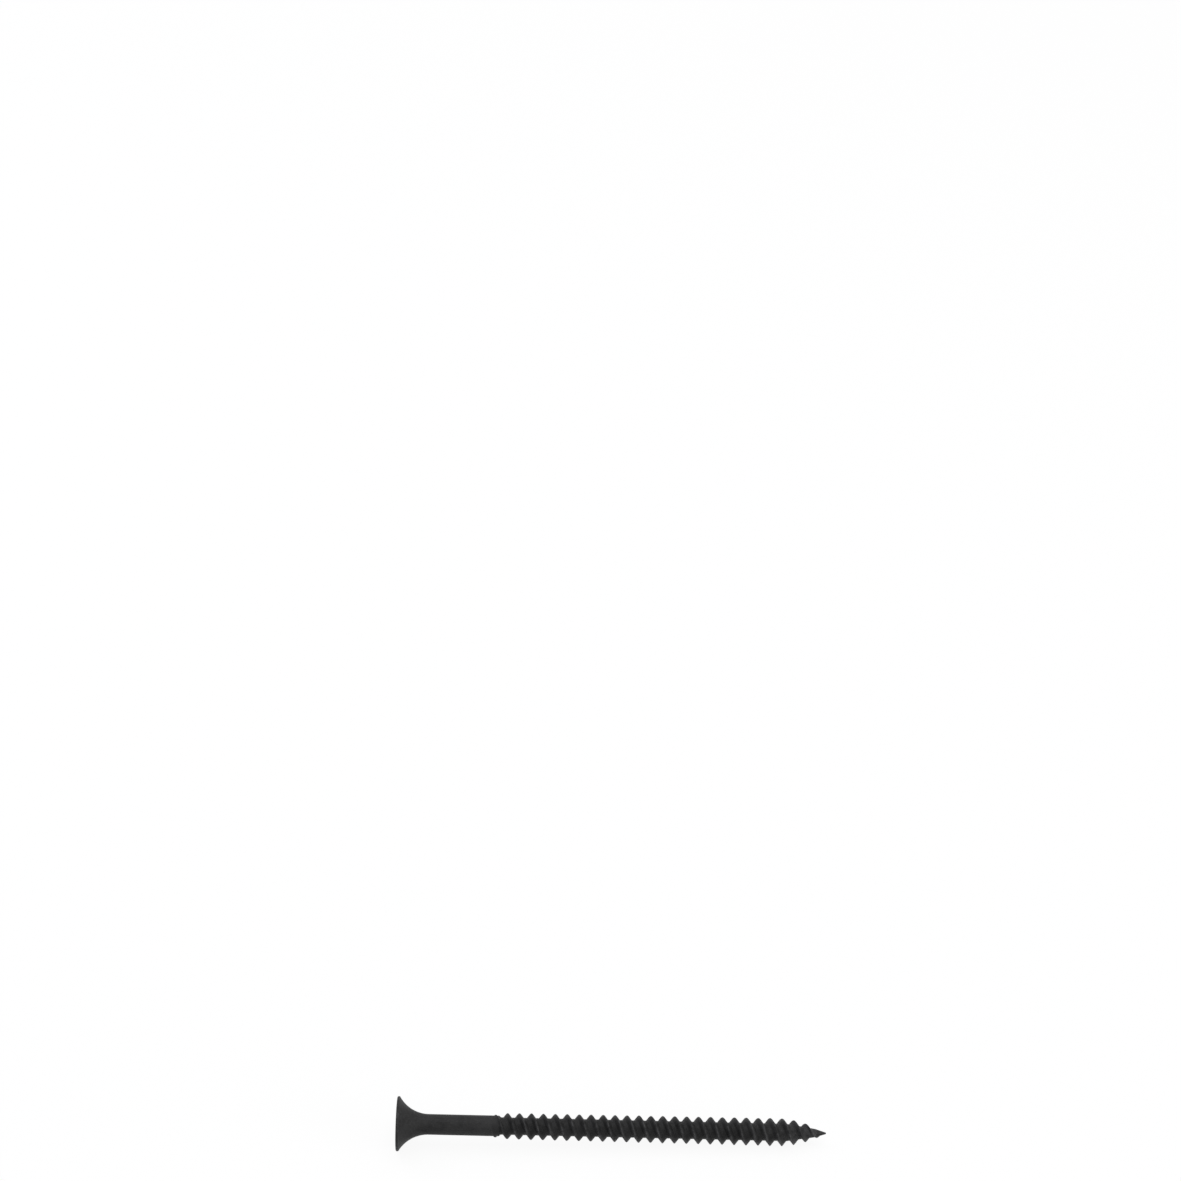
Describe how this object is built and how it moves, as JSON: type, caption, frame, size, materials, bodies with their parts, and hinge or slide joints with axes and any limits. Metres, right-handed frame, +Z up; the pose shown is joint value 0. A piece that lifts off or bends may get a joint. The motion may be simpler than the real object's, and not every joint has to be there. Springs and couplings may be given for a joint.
{
  "type": "drywall screw",
  "caption": "Long drywall screw with a flat bugle head, cross recess, plain shank, fine right-hand twin-start thread and sharp point.",
  "frame": {"origin": "on the plane the screw lies on, under the middle of its length", "axes": "+X from the head to the point, +Z up; the screw lies on the rim of its head and one crest, so its own axis dips 2 degrees towards the point"},
  "size_m": [0.065, 0.0082, 0.0082],
  "materials": {
    "black_phosphate": "matt black phosphate on carbon steel, lightly oiled"
  },
  "bodies": {
    "root": {"drywall_screw": "black_phosphate"}
  },
  "joints": []
}
